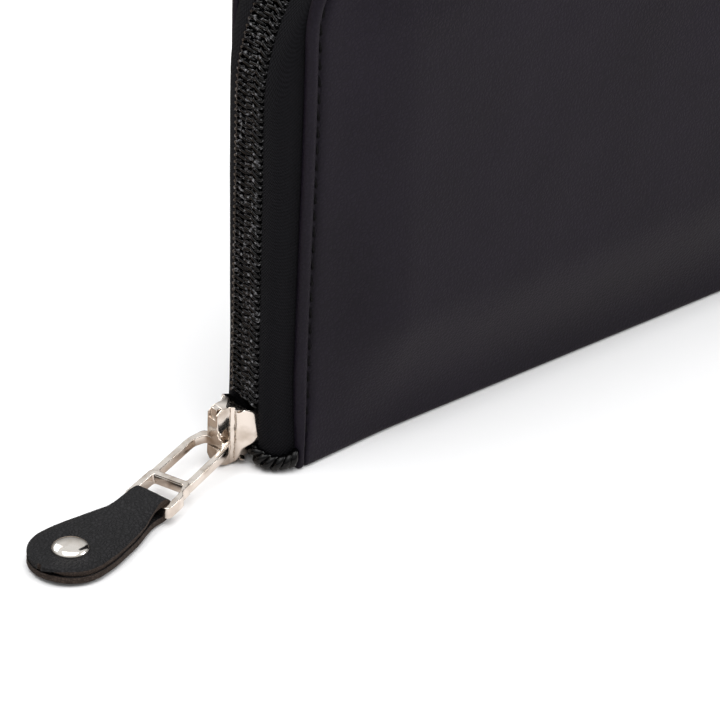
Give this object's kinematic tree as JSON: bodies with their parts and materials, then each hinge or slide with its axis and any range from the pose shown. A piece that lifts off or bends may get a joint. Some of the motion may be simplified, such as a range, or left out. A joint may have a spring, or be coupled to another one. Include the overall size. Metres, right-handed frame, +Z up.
{
  "type": "long wallet",
  "caption": "Long zip-around wallet standing on its spine, with stitched leather covers, card pockets, gusseted coin pocket, and a slider with a ring and riveted leather pull strap.",
  "frame": {"origin": "centre of the spine's underside, on the surface that the closed wallet stands on", "axes": "+X along the spine towards the end where the zip starts, -Y out of the front cover, +Z up from the spine to the zip along the top"},
  "size_m": [0.243, 0.0261, 0.0917],
  "materials": {
    "shell_leather": "soft fine-grained matt black, slightly purple-grey",
    "strap_leather": "pebbled black, doubled, raw brown-black cut edge",
    "gusset_leather": "thin smooth matt black",
    "card_leather": "smooth matt black with a turned top edge",
    "lining_cloth": "plain woven black",
    "zip_tape": "woven black polyester",
    "zip_coil": "glossy black nylon coil",
    "board": "grey fibre stiffener",
    "polished_nickel": "bright nickel plate, slightly warm",
    "rivet_nickel": "bright nickel plate, domed"
  },
  "bodies": {
    "spine": {"spine_leather": "shell_leather", "spine_board": "board", "spine_lining": "lining_cloth", "gusset_left_front": "gusset_leather", "gusset_left_back": "gusset_leather", "gusset_right_front": "gusset_leather", "gusset_right_back": "gusset_leather", "coin_front_wall": "lining_cloth", "coin_back_wall": "lining_cloth", "coin_pocket_edge": "lining_cloth", "coin_front_zip_tape": "zip_tape", "coin_back_zip_tape": "zip_tape", "coin_front_zip_coil": "zip_coil", "coin_back_zip_coil": "zip_coil", "coin_stop_left": "polished_nickel", "coin_stop_right": "polished_nickel", "zip_end_stop": "polished_nickel"},
    "front_cover": {"front_leather": "shell_leather", "front_board": "board", "front_lining": "lining_cloth", "front_card_pocket_1": "card_leather", "front_card_pocket_2": "card_leather", "front_card_pocket_3": "card_leather", "front_card_pocket_4": "card_leather", "front_zip_tape": "zip_tape", "front_zip_coil": "zip_coil"},
    "back_cover": {"back_leather": "shell_leather", "back_board": "board", "back_lining": "lining_cloth", "back_card_pocket_1": "card_leather", "back_card_pocket_2": "card_leather", "back_card_pocket_3": "card_leather", "back_card_pocket_4": "card_leather", "back_zip_tape": "zip_tape", "back_zip_coil": "zip_coil"},
    "zip_slider": {"slider_body": "polished_nickel", "slider_crown": "polished_nickel"},
    "pull_ring": {"pull_ring": "polished_nickel"},
    "pull_strap": {"strap_leather": "strap_leather", "rivet_cap": "rivet_nickel", "rivet_post": "rivet_nickel"},
    "coin_slider": {"coin_slider_body": "polished_nickel"},
    "coin_pull": {"coin_pull": "polished_nickel"}
  },
  "joints": [
    {"name": "front_cover_hinge", "type": "hinge", "parent": "spine", "child": "front_cover", "pos_m": [0, -0.00775, 0.0029], "axis": [1, 0, 0], "range_deg": [0, 40], "deforming": ["front_zip_tape", "front_zip_coil", "gusset_left_front", "gusset_right_front"]},
    {"name": "back_cover_hinge", "type": "hinge", "parent": "spine", "child": "back_cover", "pos_m": [0, 0.00775, 0.0029], "axis": [-1, 0, 0], "range_deg": [0, 40], "deforming": ["back_zip_tape", "back_zip_coil", "gusset_left_back", "gusset_right_back"]},
    {"name": "zip_slide", "type": "slide", "parent": "front_cover", "child": "zip_slider", "axis": [0, -0.0063, 1], "range_m": [0, 0.046]},
    {"name": "pull_ring_hinge", "type": "hinge", "parent": "zip_slider", "child": "pull_ring", "pos_m": [-0.10384, 0.0003, 0.00443], "axis": [-0.289, 0.9573, 0], "range_deg": [-70, 100]},
    {"name": "pull_strap_hinge", "type": "hinge", "parent": "pull_ring", "child": "pull_strap", "pos_m": [-0.12068, -0.00515, 0.00229], "axis": [-0.1805, 0.9836, 0], "range_deg": [-85, 95]},
    {"name": "coin_zip_slide", "type": "slide", "parent": "spine", "child": "coin_slider", "axis": [-1, 0, 0], "range_m": [0, 0.12], "deforming": ["coin_front_zip_coil", "coin_back_zip_coil"]},
    {"name": "coin_pull_hinge", "type": "hinge", "parent": "coin_slider", "child": "coin_pull", "pos_m": [0.062, 0, 0.0726], "axis": [0, 1, 0], "range_deg": [0, 165]}
  ]
}
